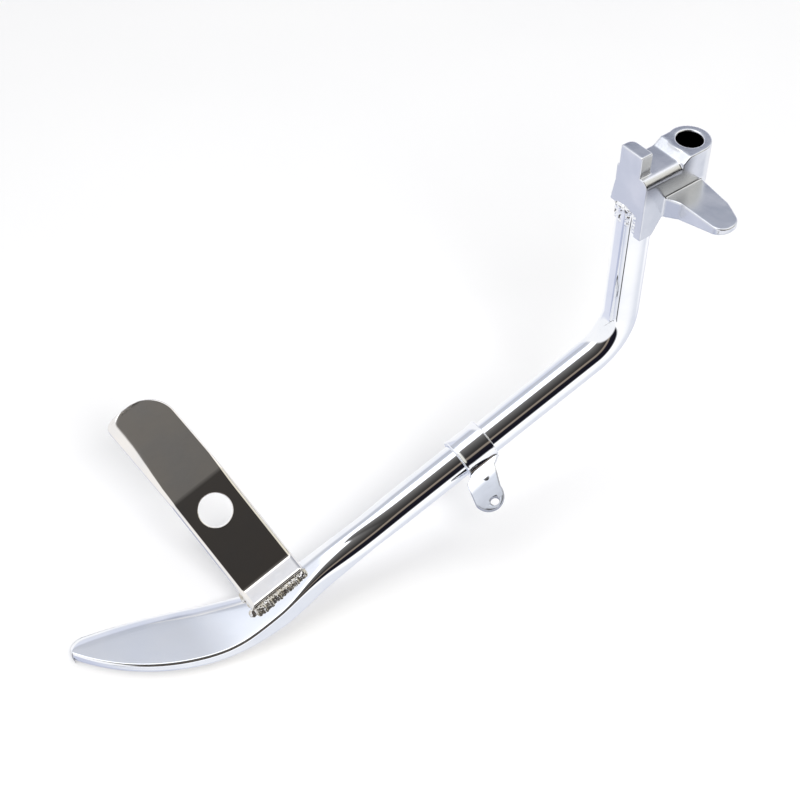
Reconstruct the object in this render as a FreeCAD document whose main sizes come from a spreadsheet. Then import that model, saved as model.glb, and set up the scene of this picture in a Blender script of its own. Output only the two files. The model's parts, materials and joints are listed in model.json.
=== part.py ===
import FreeCAD, Part
import math
import os

import Sketcher
from FreeCAD import Placement, Rotation, Vector

# Motorcycle side stand, millimetres, +Z up along the pivot bore.
# The origin is the middle of the pivot bore. The foot points to -Y and the tongue to +X.

os.makedirs("parts", exist_ok=True)

SIZES = {
    # pivot head
    "bore_dia": 11.6,
    "bore_length": 25.4,
    "bore_chamfer": 0.5,
    "boss_radius": 9.4,
    "head_far": 8.9,
    "head_reach": 33.0,
    "shelf_drop": 2.83,
    "riser_foot": 12.3,
    "riser_top": 8.4,
    "lip_radius": 4.1,
    "post_height": 10.2,
    "post_depth": 6.3,
    "post_far": 7.7,
    "post_near": 4.5,
    "post_round": 3.0,
    "column_drop": 33.3,
    "column_depth": 7.0,
    "heel_depth": 21.0,
    "cheek_flare": 1.5,
    "cheek_root": 3.0,
    # tongue on the near side of the head
    "tongue_drop": 15.3,
    "tongue_reach": 40.0,
    "tongue_front": 18.7,
    "tongue_root": 21.2,
    "tongue_neck": 7.0,
    "tongue_tip_width": 11.0,
    "tongue_back": 2.3,
    "tongue_back_reach": 28.0,
    "tongue_back_root": 0.5,
    "tongue_tip_thickness": 2.4,
    "tongue_front_round": 5.5,
    "tongue_back_round": 7.0,
    # bent bar with the forged foot
    "bar_dia": 16.0,
    "bar_inset": 0.1,
    "bar_side": 2.6,
    "bar_top_drop": 22.0,
    "bar_vertical": 78.9,
    "bar_heading": -94.0,
    "bar_slope": 20.2,
    "bend_radius": 24.0,
    "forge_start": 158.0,
    "foot_arc_radius": 150.0,
    "foot_level": 72.6,
    "foot_shoulder": 200.0,
    "foot_length": 71.0,
    "foot_near": 10.6,
    "foot_near_arc": 86.0,
    "foot_far": 9.2,
    "foot_spread_end": 188.0,
    "foot_far_sweep": 0.52,
    "foot_far_arc": 210.0,
    "foot_tip_round": 8.0,
    "foot_thickness": 7.0,
    "foot_tip_thickness": 5.6,
    "foot_near_round": 1.0,
    "foot_under_round": 2.6,
    "foot_crown": 8.5,
    "flat_start": 168.6,
    "flat_end": 216.0,
    "sole_grind": 0.2,
    # foot lever
    "lever_width": 28.6,
    "lever_thickness": 4.8,
    "lever_station": 182.6,
    "lever_fold_side": 10.2,
    "lever_pitch": 20.5,
    "lever_yaw": 0.2,
    "lever_seat": 0.6,
    "lever_flange": 11.4,
    "lever_riser": 50.0,
    "lever_rise_angle": 40.0,
    "lever_pad": 47.2,
    "lever_pad_angle": 25.0,
    "lever_pad_drift": 2.0,
    "lever_bend": 3.0,
    "lever_tip_round": 14.0,
    "lever_tip_corner": 4.0,
    "lever_hole_dia": 15.0,
    "lever_hole_up": 37.6,
    # spring band and its rivet
    "band_station": 85.5,
    "band_width": 16.0,
    "band_thickness": 1.6,
    "band_droop": 15.0,
    "ear_slit": 0.2,
    "ear_neck": 3.0,
    "ear_neck_low": 3.6,
    "ear_neck_high": 12.4,
    "ear_length": 12.4,
    "ear_lean": 8.0,
    "ear_round": 7.1,
    "spring_hole_dia": 4.6,
    "spring_hole_reach": 3.9,
    "spring_hole_side": 0.6,
    "rivet_dia": 2.4,
    "rivet_reach": 5.3,
    "rivet_side": 3.6,
    "rivet_head": 0.35,
    "rivet_head_dia": 3.6,
    # weld beads
    "collar_bead_radius": 1.9,
    "collar_bead_start": 190.0,
    "collar_bead_end": 318.0,
    "toe_bead_radius": 2.5,
    "heel_bead_radius": 2.2,
    "bead_lift": 0.5,
    # how far an outline runs past the metal that it cuts, or into the metal that it joins
    "spare": 1.0,
}

# cross-sections of the forged foot: along the round-to-flat stretch, and along the blade
FORGE_STEPS = 5
BLADE_STEPS = 10

# share of a side that one rounded corner may take, so that a short straight stays between two
CORNER_SHARE = 0.49

# two points closer than this are the same point
SAME = 0.01

document = FreeCAD.newDocument("side_stand")
sheet = document.addObject("Spreadsheet::Sheet", "Sizes")
for row, (alias, value) in enumerate(SIZES.items(), start=1):
    sheet.set(f"A{row}", alias)
    sheet.set(f"B{row}", str(value))
    sheet.setAlias(f"B{row}", alias)
document.recompute()


def size(alias):
    """A driving dimension, read back from the spreadsheet."""
    return float(sheet.get(alias))


def new_body(name):
    """An empty PartDesign body whose label names the exported file."""
    body = document.addObject("PartDesign::Body", name)
    body.Label = name
    return body


def new_sketch(body, role, name, lift=None):
    """A sketch on one of the body's own origin planes, lifted along the plane's normal."""
    plane = next(item for item in body.Origin.OriginFeatures if item.Role == role)
    sketch = body.newObject("Sketcher::SketchObject", name)
    sketch.AttachmentSupport = [(plane, "")]
    sketch.MapMode = "FlatFace"
    if lift is not None:
        sketch.setExpression("AttachmentOffset.Base.z", lift)
    return sketch


def bind(sketch, constraint, formula):
    """Adds a constraint and ties its value to a formula on the spreadsheet."""
    index = sketch.addConstraint(constraint)
    sketch.setExpression(f"Constraints[{index}]", formula)


def polygon(sketch, corners):
    """A closed outline whose corners are pairs of spreadsheet formulas."""
    count = len(corners)
    start = [Vector(math.cos(2 * math.pi * i / count), math.sin(2 * math.pi * i / count), 0)
             for i in range(count)]
    for i in range(count):
        sketch.addGeometry(Part.LineSegment(start[i], start[(i + 1) % count]), False)
    for i in range(count):
        sketch.addConstraint(Sketcher.Constraint("Coincident", i, 2, (i + 1) % count, 1))
    for i, (across, up) in enumerate(corners):
        bind(sketch, Sketcher.Constraint("DistanceX", -1, 1, i, 1, start[i].x), across)
        bind(sketch, Sketcher.Constraint("DistanceY", -1, 1, i, 1, start[i].y), up)
    return sketch


def circle(sketch, across, up, radius):
    """A circle whose centre and radius are spreadsheet formulas."""
    sketch.addGeometry(Part.Circle(Vector(1, 1, 0), Vector(0, 0, 1), 1), False)
    bind(sketch, Sketcher.Constraint("DistanceX", -1, 1, 0, 3, 1), across)
    bind(sketch, Sketcher.Constraint("DistanceY", -1, 1, 0, 3, 1), up)
    bind(sketch, Sketcher.Constraint("Radius", 0, 1), radius)
    return sketch


def pad(body, sketch, name, length, midplane=False):
    """A pad along the sketch's normal."""
    feature = body.newObject("PartDesign::Pad", name)
    feature.Profile = sketch
    feature.setExpression("Length", length)
    feature.Midplane = midplane
    document.recompute()
    return feature


def cut(body, sketch, name, length, midplane=False, forward=False):
    """A pocket, which must take material away."""
    before = body.Shape.Volume
    feature = body.newObject("PartDesign::Pocket", name)
    feature.Profile = sketch
    feature.setExpression("Length", length)
    feature.Midplane = midplane
    feature.Reversed = forward
    document.recompute()
    if body.Shape.Volume >= before - 1e-6:
        raise RuntimeError(f"{name} removed nothing")
    return feature


def round_edges(body, name, radius, wanted):
    """A fillet on the edges of the body's tip that the test picks."""
    base = body.Tip
    edges = [f"Edge{i + 1}" for i, edge in enumerate(base.Shape.Edges) if wanted(edge)]
    if not edges:
        raise RuntimeError(f"{name} found no edge")
    feature = body.newObject("PartDesign::Fillet", name)
    feature.Base = (base, edges)
    feature.setExpression("Radius", radius)
    document.recompute()
    return feature


def chamfer_edges(body, name, width, wanted):
    """A chamfer on the edges of the body's tip that the test picks."""
    base = body.Tip
    edges = [f"Edge{i + 1}" for i, edge in enumerate(base.Shape.Edges) if wanted(edge)]
    if not edges:
        raise RuntimeError(f"{name} found no edge")
    feature = body.newObject("PartDesign::Chamfer", name)
    feature.Base = (base, edges)
    feature.setExpression("Size", width)
    document.recompute()
    return feature


def stands_at(edge, x, y):
    """True for a straight edge along Z through the point (x, y)."""
    ends = [vertex.Point for vertex in edge.Vertexes]
    return len(ends) == 2 and all(math.hypot(p.x - x, p.y - y) < SAME for p in ends)


def runs_across(edge, x, z):
    """True for a straight edge along Y through the point (x, z)."""
    ends = [vertex.Point for vertex in edge.Vertexes]
    return len(ends) == 2 and all(math.hypot(p.x - x, p.z - z) < SAME for p in ends)


HALF_BORE = "Sizes.bore_length / 2"
SHELF = f"({HALF_BORE} - Sizes.shelf_drop)"
BAR_AXIS_Y = "(-Sizes.head_reach + Sizes.bar_dia / 2 - Sizes.bar_inset)"


def make_head():
    """Cast pivot head: boss, shelf with its riser, stop post, column beside the bar, and tongue."""
    body = new_body("pivot_head")

    side = new_sketch(body, "YZ_Plane", "side_outline", "-Sizes.head_far")
    polygon(side, [
        ("-Sizes.head_reach", SHELF),
        ("-Sizes.head_reach", f"{HALF_BORE} - Sizes.column_drop"),
        ("-Sizes.head_reach + Sizes.column_depth", f"{HALF_BORE} - Sizes.column_drop"),
        ("-Sizes.heel_depth", f"-{HALF_BORE}"),
        ("0", f"-{HALF_BORE}"),
        ("0", HALF_BORE),
        ("-Sizes.riser_top", HALF_BORE),
        ("-Sizes.riser_foot", SHELF),
    ])
    pad(body, side, "block", "Sizes.head_far + Sizes.boss_radius")

    cheek = new_sketch(body, "XZ_Plane", "cheek_outline", "Sizes.heel_depth - Sizes.cheek_root")
    polygon(cheek, [
        ("-Sizes.post_far", SHELF),
        ("0", SHELF),
        ("0", f"{HALF_BORE} - Sizes.bar_top_drop"),
        ("-Sizes.head_far - Sizes.cheek_flare", f"{HALF_BORE} - Sizes.bar_top_drop"),
    ])
    pad(body, cheek, "cheek", "Sizes.head_reach - Sizes.heel_depth + Sizes.cheek_root")

    boss = new_sketch(body, "XY_Plane", "boss_outline", f"-{HALF_BORE}")
    circle(boss, "0", "0", "Sizes.boss_radius")
    pad(body, boss, "boss", "Sizes.bore_length")

    seat = new_sketch(body, "XY_Plane", "bar_seat_outline", f"{HALF_BORE} - Sizes.bar_top_drop")
    polygon(seat, [
        ("-Sizes.head_far - Sizes.bar_dia", "-Sizes.head_reach - Sizes.spare"),
        ("-Sizes.bar_side + Sizes.bar_dia / 2", "-Sizes.head_reach - Sizes.spare"),
        ("-Sizes.bar_side + Sizes.bar_dia / 2", f"{BAR_AXIS_Y} + Sizes.bar_dia / 2"),
        ("-Sizes.head_far - Sizes.bar_dia", f"{BAR_AXIS_Y} + Sizes.bar_dia / 2"),
    ])
    cut(body, seat, "bar_seat", "Sizes.column_drop")

    lip_notch = new_sketch(body, "XZ_Plane", "lip_notch_outline", "Sizes.riser_foot")
    polygon(lip_notch, [
        ("Sizes.boss_radius - Sizes.lip_radius", f"{SHELF} - Sizes.lip_radius"),
        ("Sizes.boss_radius + Sizes.spare", f"{SHELF} - Sizes.lip_radius"),
        ("Sizes.boss_radius + Sizes.spare", f"{SHELF} + Sizes.spare"),
        ("Sizes.boss_radius - Sizes.lip_radius", f"{SHELF} + Sizes.spare"),
    ])
    cut(body, lip_notch, "lip_notch", "Sizes.head_reach", forward=True)

    lip_roll = new_sketch(body, "XZ_Plane", "lip_roll_outline", "Sizes.riser_foot")
    circle(lip_roll, "Sizes.boss_radius - Sizes.lip_radius", f"{SHELF} - Sizes.lip_radius",
           "Sizes.lip_radius")
    pad(body, lip_roll, "lip_roll", "Sizes.head_reach - Sizes.riser_foot")

    post = new_sketch(body, "XY_Plane", "post_outline", f"{SHELF} - Sizes.spare")
    polygon(post, [
        ("-Sizes.post_far", "-Sizes.head_reach"),
        ("Sizes.post_near", "-Sizes.head_reach"),
        ("Sizes.post_near", "-Sizes.head_reach + Sizes.post_depth"),
        ("-Sizes.post_far", "-Sizes.head_reach + Sizes.post_depth"),
    ])
    pad(body, post, "post", "Sizes.post_height + Sizes.spare")
    post_back = -size("head_reach") + size("post_depth")
    round_edges(body, "post_corner", "Sizes.post_round",
                lambda edge: stands_at(edge, -size("post_far"), post_back))

    tongue = new_sketch(body, "XY_Plane", "tongue_outline", f"-{HALF_BORE}")
    polygon(tongue, [
        ("Sizes.boss_radius - Sizes.lip_radius", "-Sizes.tongue_root"),
        ("Sizes.boss_radius", "-Sizes.tongue_root"),
        ("Sizes.boss_radius + Sizes.tongue_neck", "-Sizes.tongue_front"),
        ("Sizes.tongue_reach", "-Sizes.tongue_front"),
        ("Sizes.tongue_reach", "-Sizes.tongue_front + Sizes.tongue_tip_width"),
        ("Sizes.tongue_back_reach", "-Sizes.tongue_back"),
        ("Sizes.boss_radius", "Sizes.tongue_back_root"),
        ("Sizes.boss_radius - Sizes.lip_radius", "Sizes.tongue_back_root"),
    ])
    pad(body, tongue, "tongue", "Sizes.bore_length - Sizes.tongue_drop")
    tip_y = size("tongue_tip_width") - size("tongue_front")
    round_edges(body, "tongue_front_corner", "Sizes.tongue_front_round",
                lambda edge: stands_at(edge, size("tongue_reach"), -size("tongue_front")))
    round_edges(body, "tongue_back_corner", "Sizes.tongue_back_round",
                lambda edge: stands_at(edge, size("tongue_reach"), tip_y))

    taper = new_sketch(body, "XZ_Plane", "tongue_taper_outline", "0")
    polygon(taper, [
        ("Sizes.boss_radius + Sizes.spare", f"-{HALF_BORE} - Sizes.spare"),
        ("Sizes.tongue_reach + Sizes.spare", f"-{HALF_BORE} - Sizes.spare"),
        ("Sizes.tongue_reach + Sizes.spare", f"{HALF_BORE} - Sizes.tongue_drop - Sizes.tongue_tip_thickness"),
        ("Sizes.boss_radius + Sizes.spare", f"-{HALF_BORE}"),
    ])
    cut(body, taper, "tongue_taper", "Sizes.head_reach * 2", midplane=True)

    bore = new_sketch(body, "XY_Plane", "bore_outline", "0")
    circle(bore, "0", "0", "Sizes.bore_dia / 2")
    cut(body, bore, "bore", "Sizes.bore_length * 2", midplane=True)
    rim_z = size("bore_length") / 2
    chamfer_edges(body, "bore_rims", "Sizes.bore_chamfer",
                  lambda edge: rim_of_bore(edge, size("bore_dia") / 2, rim_z))
    return body


def rim_of_bore(edge, radius, height):
    """True for a full circle round the Z axis at plus or minus the height."""
    if not isinstance(edge.Curve, Part.Circle):
        return False
    centre = edge.Curve.Center
    on_axis = math.hypot(centre.x, centre.y) < SAME
    return on_axis and abs(edge.Curve.Radius - radius) < SAME and abs(abs(centre.z) - height) < SAME


def bend_corner():
    """Where the bar's upright and sloping centre lines meet."""
    return Vector(
        -size("bar_side"),
        -size("head_reach") + size("bar_dia") / 2 - size("bar_inset"),
        size("bore_length") / 2 - size("bar_top_drop") - size("bar_vertical"),
    )


def leg_placement():
    """Frame of the leg: origin at the bend, +X along the leg's heading, +Y to its near side."""
    return Placement(bend_corner(), Rotation(Vector(0, 0, 1), size("bar_heading")))


def foot_centre(x):
    """Height and slope of the foot's middle at a distance ahead of the bend."""
    slope = math.radians(size("bar_slope"))
    radius = size("foot_arc_radius")
    corner = size("foot_level") / math.tan(slope)
    arc_end = corner + radius * math.tan(slope / 2)
    arc_start = arc_end - radius * math.sin(slope)
    if x <= arc_start:
        return -x * math.tan(slope), slope
    if x >= arc_end:
        return -size("foot_level"), 0.0
    back = arc_end - x
    return -size("foot_level") + radius - math.sqrt(radius**2 - back**2), math.asin(back / radius)


def ease(x, start, end):
    """Smooth step from 0 to 1."""
    t = min(1.0, max(0.0, (x - start) / (end - start)))
    return t * t * (3 - 2 * t)


def mix(first, last, share):
    return first + (last - first) * share


def foot_edges(x):
    """Near and far edge of the forged foot at a distance ahead of the bend."""
    bar_radius = size("bar_dia") / 2
    past = max(0.0, x - size("foot_shoulder"))
    arc = size("foot_near_arc")
    spread = ease(x, size("forge_start"), size("foot_spread_end"))
    near = mix(bar_radius, size("foot_near"), spread)
    near += math.sqrt(arc**2 - past**2) - arc

    past_far = max(0.0, x - size("foot_spread_end"))
    far = mix(bar_radius, size("foot_far"), spread)
    far += past_far * size("foot_far_sweep") - past_far**2 / (2 * size("foot_far_arc"))
    into_tip = max(0.0, x - tip_station() + size("foot_tip_round"))
    far -= size("foot_tip_round") - math.sqrt(size("foot_tip_round")**2 - into_tip**2)
    return near, -far


def foot_flatness(x):
    """0 where the bar is still round, 1 where it is forged to the foot's thickness."""
    return ease(x, size("flat_start"), size("flat_end"))


def foot_height(x):
    """Thickness of the forged section at a distance ahead of the bend."""
    tip = ease(x, size("foot_shoulder"), tip_station())
    blade = mix(size("foot_thickness"), size("foot_tip_thickness"), tip)
    return mix(size("bar_dia"), blade, foot_flatness(x))


def quarter(start, corner, end):
    """Quarter of an ellipse from start to end, whose tangents meet at the corner."""
    curve = Part.BSplineCurve()
    curve.buildFromPolesMultsKnots(
        [start, corner, end], [3, 3], [0, 1], False, 2, [1, math.sqrt(0.5), 1])
    return curve.toShape()


def foot_section(x):
    """Closed wire of one cross-section: flat sides joined by four quarter ellipses."""
    near, far = foot_edges(x)
    height = foot_height(x)
    flat = foot_flatness(x)
    widest = (near - far) * CORNER_SHARE
    highest = height * CORNER_SHARE
    bar_round = size("bar_dia") * CORNER_SHARE
    near_round = min(highest, mix(bar_round, size("foot_near_round"), flat))
    under_round = min(highest, mix(bar_round, size("foot_under_round"), flat))
    crown_width = mix(bar_round, size("foot_crown"), flat)
    corners = [
        (near, 1, near_round, near_round),
        (far, 1, crown_width, 2 * highest - under_round),
        (far, -1, under_round, under_round),
        (near, -1, under_round, under_round),
    ]
    arcs = []
    for y, rise, wide, high in corners:
        side = 1 if y == near else -1
        corner = Vector(0, y, rise * height / 2)
        beside = corner - Vector(0, 0, rise * high)
        above = corner - Vector(0, side * min(wide, widest), 0)
        arcs.append((beside, corner, above) if side == rise else (above, corner, beside))
    edges = []
    for index, (first, corner, last) in enumerate(arcs):
        edges.append(quarter(first, corner, last))
        edges.append(Part.makeLine(last, arcs[(index + 1) % len(arcs)][0]))
    wire = Part.Wire(edges)
    height_at, slope = foot_centre(x)
    wire.Placement = Placement(Vector(x, 0, height_at), Rotation(Vector(0, 1, 0), math.degrees(slope)))
    return wire


def tip_station():
    """Distance from the bend to the end of the foot."""
    return size("foot_shoulder") + size("foot_length")


def make_leg():
    """Round bar, bent once, whose lower end is forged flat into the curved foot."""
    slope = math.radians(size("bar_slope"))
    turn = math.pi / 2 - slope
    setback = size("bend_radius") * math.tan(turn / 2)
    ahead = Vector(math.cos(slope), 0, -math.sin(slope))
    top = Vector(0, 0, size("bar_vertical"))
    bend_start = Vector(0, 0, setback)
    bend_end = ahead * setback
    bend_centre = Vector(size("bend_radius"), 0, setback)
    inward = (ahead * setback + Vector(0, 0, setback)) * 0.5 - bend_centre
    bend_middle = bend_centre + inward.normalize() * size("bend_radius")
    forge = ahead * (size("forge_start") / math.cos(slope))
    path = Part.Wire([
        Part.makeLine(top, bend_start),
        Part.Arc(bend_start, bend_middle, bend_end).toShape(),
        Part.makeLine(bend_end, forge),
    ])
    profile = Part.Wire([Part.makeCircle(size("bar_dia") / 2, top, Vector(0, 0, 1))])
    bar = path.makePipeShell([profile], True, False)

    forged = size("foot_shoulder") - size("forge_start")
    stations = [size("forge_start") + forged * step / FORGE_STEPS for step in range(FORGE_STEPS)]
    stations += [size("foot_shoulder") + size("foot_length") * math.sin(math.pi / 2 * step / BLADE_STEPS)
                 for step in range(BLADE_STEPS + 1)]
    foot = Part.makeLoft([foot_section(x) for x in stations], True, False)

    leg = document.addObject("Part::Feature", "leg_bar")
    leg.Label = "leg_bar"
    leg.Shape = bar.fuse(foot).cut(lever_seat()).cut(sole_grind(foot.BoundBox.ZMin))
    leg.Placement = leg_placement()
    return leg


def lever_in_leg():
    """Frame of the lever within the leg: origin at its lower fold, +X across the leg, +Y up along it."""
    station = size("lever_station")
    height_at, slope = foot_centre(station)
    lift = foot_height(station) / 2 / math.cos(slope) - size("lever_seat")
    fold = Vector(station, -size("lever_fold_side"), height_at + lift)
    across = Rotation(Vector(0, 0, 1), 90)
    pitch = Rotation(Vector(1, 0, 0), size("lever_pitch"))
    yaw = Rotation(Vector(0, 0, 1), size("lever_yaw"))
    return Placement(fold, across.multiply(pitch).multiply(yaw))


def lever_placement():
    """Frame of the lever."""
    return leg_placement().multiply(lever_in_leg())


def lever_seat():
    """What the hammer took off the top of the bar, so that the strip sits on a flat."""
    length = size("lever_fold_side") + size("bar_dia")
    block = Part.makeBox(length * 2, size("lever_width"), size("bar_dia"),
                         Vector(-length, -size("lever_width") / 2, 0))
    block.Placement = lever_in_leg()
    return block


def sole_grind(lowest):
    """What the linisher took off the foot's underside, so that it stands on a flat."""
    length = tip_station() + size("foot_tip_round")
    width = size("foot_length") * 2
    return Part.makeBox(length, width, size("bar_dia"),
                        Vector(0, -width / 2, lowest + size("sole_grind") - size("bar_dia")))


def make_lever():
    """Flat strip, folded twice, with a rounded end and one hole."""
    body = new_body("foot_lever")
    thick = "Sizes.lever_thickness"
    rise = "Sizes.lever_rise_angle"
    tilt = "Sizes.lever_pad_angle"
    riser_x = f"Sizes.lever_riser * cos({rise} * 1 deg)"
    riser_z = f"Sizes.lever_riser * sin({rise} * 1 deg)"
    pad_x = f"Sizes.lever_pad * cos({tilt} * 1 deg)"
    pad_z = f"Sizes.lever_pad * sin({tilt} * 1 deg)"
    mean = f"({rise} + {tilt}) / 2 * 1 deg"
    half = f"({rise} - {tilt}) / 2 * 1 deg"

    profile = new_sketch(body, "XZ_Plane", "profile")
    polygon(profile, [
        ("Sizes.lever_flange", "0"),
        ("Sizes.lever_flange", thick),
        (f"{thick} * tan({rise} / 2 * 1 deg)", thick),
        (f"-{riser_x} + {thick} * sin({mean}) / cos({half})",
         f"{riser_z} + {thick} * cos({mean}) / cos({half})"),
        (f"-{riser_x} - {pad_x} + {thick} * sin({tilt} * 1 deg)",
         f"{riser_z} + {pad_z} + {thick} * cos({tilt} * 1 deg)"),
        (f"-{riser_x} - {pad_x}", f"{riser_z} + {pad_z}"),
        (f"-{riser_x}", riser_z),
        ("0", "0"),
    ])
    pad(body, profile, "strip", "Sizes.lever_width * 2", midplane=True)

    rise_angle = math.radians(size("lever_rise_angle"))
    tilt_angle = math.radians(size("lever_pad_angle"))
    thickness = size("lever_thickness")
    fold = Vector(-math.cos(rise_angle), 0, math.sin(rise_angle)) * size("lever_riser")
    end = fold + Vector(-math.cos(tilt_angle), 0, math.sin(tilt_angle)) * size("lever_pad")
    skin = Vector(math.sin(tilt_angle), 0, math.cos(tilt_angle)) * thickness
    fold_mean = (rise_angle + tilt_angle) / 2
    fold_half = (rise_angle - tilt_angle) / 2
    over_reach = thickness / math.cos(fold_half)
    over_fold = fold + Vector(math.sin(fold_mean), 0, math.cos(fold_mean)) * over_reach
    inner_fold = Vector(thickness * math.tan(rise_angle / 2), 0, thickness)

    drift = "tan(Sizes.lever_pad_drift * 1 deg)"
    beyond = "(Sizes.lever_riser + Sizes.lever_pad * 2)"
    lean = f"Sizes.lever_pad * 2 * {drift}"
    half_width = "Sizes.lever_width / 2"
    trim_near = tilted_sketch(body, "near_trim_outline", rise)
    polygon(trim_near, [
        ("-Sizes.lever_riser", half_width),
        ("Sizes.lever_flange * 2", half_width),
        ("Sizes.lever_flange * 2", "Sizes.lever_width * 2"),
        (f"-{beyond}", "Sizes.lever_width * 2"),
        (f"-{beyond}", f"{half_width} - {lean}"),
    ])
    cut(body, trim_near, "near_trim", "Sizes.lever_riser * 4", midplane=True)
    trim_far = tilted_sketch(body, "far_trim_outline", rise)
    polygon(trim_far, [
        ("Sizes.lever_flange * 2", f"-{half_width}"),
        ("Sizes.lever_flange * 2", "-Sizes.lever_width * 2"),
        (f"-{beyond}", "-Sizes.lever_width * 2"),
        (f"-{beyond}", f"-{half_width} - {lean}"),
        ("-Sizes.lever_riser", f"-{half_width}"),
    ])
    cut(body, trim_far, "far_trim", "Sizes.lever_riser * 4", midplane=True)

    round_edges(body, "tip_round", "Sizes.lever_tip_round",
                lambda edge: spans(edge, end, end + skin) and edge.CenterOfMass.y > 0)
    round_edges(body, "tip_corner", "Sizes.lever_tip_corner",
                lambda edge: spans(edge, end, end + skin) and edge.CenterOfMass.y < 0)
    round_edges(body, "inside_folds", "Sizes.lever_bend",
                lambda edge: any(runs_across(edge, at.x, at.z) for at in (inner_fold, fold)))
    round_edges(body, "outside_folds", "Sizes.lever_bend + Sizes.lever_thickness",
                lambda edge: any(runs_across(edge, at.x, at.z) for at in (Vector(), over_fold)))

    hole = tilted_sketch(body, "hole_outline", rise)
    circle(hole, "-Sizes.lever_hole_up", "0", "Sizes.lever_hole_dia / 2")
    cut(body, hole, "hole", "Sizes.lever_thickness * 4", midplane=True)
    body.Placement = lever_placement()
    return body


def tilted_sketch(body, name, angle):
    """A sketch on the body's XY plane, turned about its Y axis to lie along the strip's middle leg."""
    sketch = new_sketch(body, "XY_Plane", name)
    sketch.AttachmentOffset = Placement(Vector(0, 0, 0), Rotation(Vector(0, 1, 0), 1))
    sketch.setExpression("AttachmentOffset.Rotation.Angle", f"{angle} * 1 deg")
    return sketch


def spans(edge, first, last):
    """True for a straight edge whose ends lie over the two points when seen along Y."""
    ends = [vertex.Point for vertex in edge.Vertexes]
    if len(ends) != 2:
        return False
    for start, stop in ((ends[0], ends[1]), (ends[1], ends[0])):
        gap = math.hypot(start.x - first.x, start.z - first.z) + math.hypot(stop.x - last.x, stop.z - last.z)
        if gap < SAME:
            return True
    return False


def band_placement():
    """Frame of the spring band: on the bar's axis, +Z along the bar, +X out along its ear."""
    slope = size("bar_slope")
    along = Vector(math.cos(math.radians(slope)), 0, -math.sin(math.radians(slope))) * size("band_station")
    down_bar = Rotation(Vector(0, 1, 0), 90 + slope)
    to_near_side = Rotation(Vector(0, 0, 1), 90 - size("band_droop"))
    return leg_placement().multiply(Placement(along, down_bar.multiply(to_near_side)))


EAR_THICKNESS = "(Sizes.band_thickness * 2 + Sizes.ear_slit)"
RING_RADIUS = "(Sizes.bar_dia / 2 + Sizes.band_thickness)"
EAR_END = f"({RING_RADIUS} + Sizes.ear_length)"


def make_band():
    """Strap closed round the bar, its two ends laid together as an ear with a spring hole."""
    body = new_body("spring_band")
    ring = new_sketch(body, "XY_Plane", "ring_outline", "-Sizes.band_width / 2")
    circle(ring, "0", "0", RING_RADIUS)
    pad(body, ring, "ring", "Sizes.band_width")

    ear = new_sketch(body, "XZ_Plane", "ear_outline", f"-{EAR_THICKNESS} / 2")
    half_band = "Sizes.band_width / 2"
    polygon(ear, [
        ("Sizes.bar_dia / 4", f"-{half_band}"),
        (RING_RADIUS, f"-{half_band}"),
        (f"{RING_RADIUS} + Sizes.ear_neck", "-Sizes.ear_neck_low"),
        (EAR_END, "Sizes.ear_lean - Sizes.ear_round"),
        (EAR_END, "Sizes.ear_lean + Sizes.ear_round"),
        (f"{RING_RADIUS} + Sizes.ear_neck", "Sizes.ear_neck_high"),
        (RING_RADIUS, half_band),
        ("Sizes.bar_dia / 4", half_band),
    ])
    pad(body, ear, "ear", EAR_THICKNESS)

    end = new_sketch(body, "XZ_Plane", "ear_end_outline", f"-{EAR_THICKNESS} / 2")
    circle(end, EAR_END, "Sizes.ear_lean", "Sizes.ear_round")
    pad(body, end, "ear_end", EAR_THICKNESS)

    grip = new_sketch(body, "XY_Plane", "grip_outline")
    circle(grip, "0", "0", "Sizes.bar_dia / 2")
    cut(body, grip, "grip", "Sizes.band_width * 2", midplane=True)

    slit = new_sketch(body, "XY_Plane", "slit_outline")
    polygon(slit, [
        ("0", "-Sizes.ear_slit / 2"),
        (f"{EAR_END} + Sizes.ear_round * 2", "-Sizes.ear_slit / 2"),
        (f"{EAR_END} + Sizes.ear_round * 2", "Sizes.ear_slit / 2"),
        ("0", "Sizes.ear_slit / 2"),
    ])
    cut(body, slit, "slit", "Sizes.band_width * 4", midplane=True)

    hole = new_sketch(body, "XZ_Plane", "spring_hole_outline")
    circle(hole, f"{EAR_END} + Sizes.spring_hole_reach", "Sizes.ear_lean - Sizes.spring_hole_side",
           "Sizes.spring_hole_dia / 2")
    cut(body, hole, "spring_hole", "Sizes.bar_dia", midplane=True)

    rivet_hole = new_sketch(body, "XZ_Plane", "rivet_hole_outline")
    circle(rivet_hole, f"{RING_RADIUS} + Sizes.rivet_reach", "Sizes.rivet_side", "Sizes.rivet_dia / 2")
    cut(body, rivet_hole, "rivet_hole", "Sizes.bar_dia", midplane=True)
    body.Placement = band_placement()
    return body


def make_rivet():
    """Rivet that closes the strap beside the bar."""
    body = new_body("band_rivet")
    shank = new_sketch(body, "XZ_Plane", "shank_outline", f"-{EAR_THICKNESS} / 2")
    circle(shank, f"{RING_RADIUS} + Sizes.rivet_reach", "Sizes.rivet_side", "Sizes.rivet_dia / 2")
    pad(body, shank, "shank", EAR_THICKNESS)
    for name, lift in (("front_head", f"-{EAR_THICKNESS} / 2 - Sizes.rivet_head"),
                       ("back_head", f"{EAR_THICKNESS} / 2")):
        head = new_sketch(body, "XZ_Plane", f"{name}_outline", lift)
        circle(head, f"{RING_RADIUS} + Sizes.rivet_reach", "Sizes.rivet_side", "Sizes.rivet_head_dia / 2")
        pad(body, head, name, "Sizes.rivet_head")
    body.Placement = band_placement()
    return body


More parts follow.
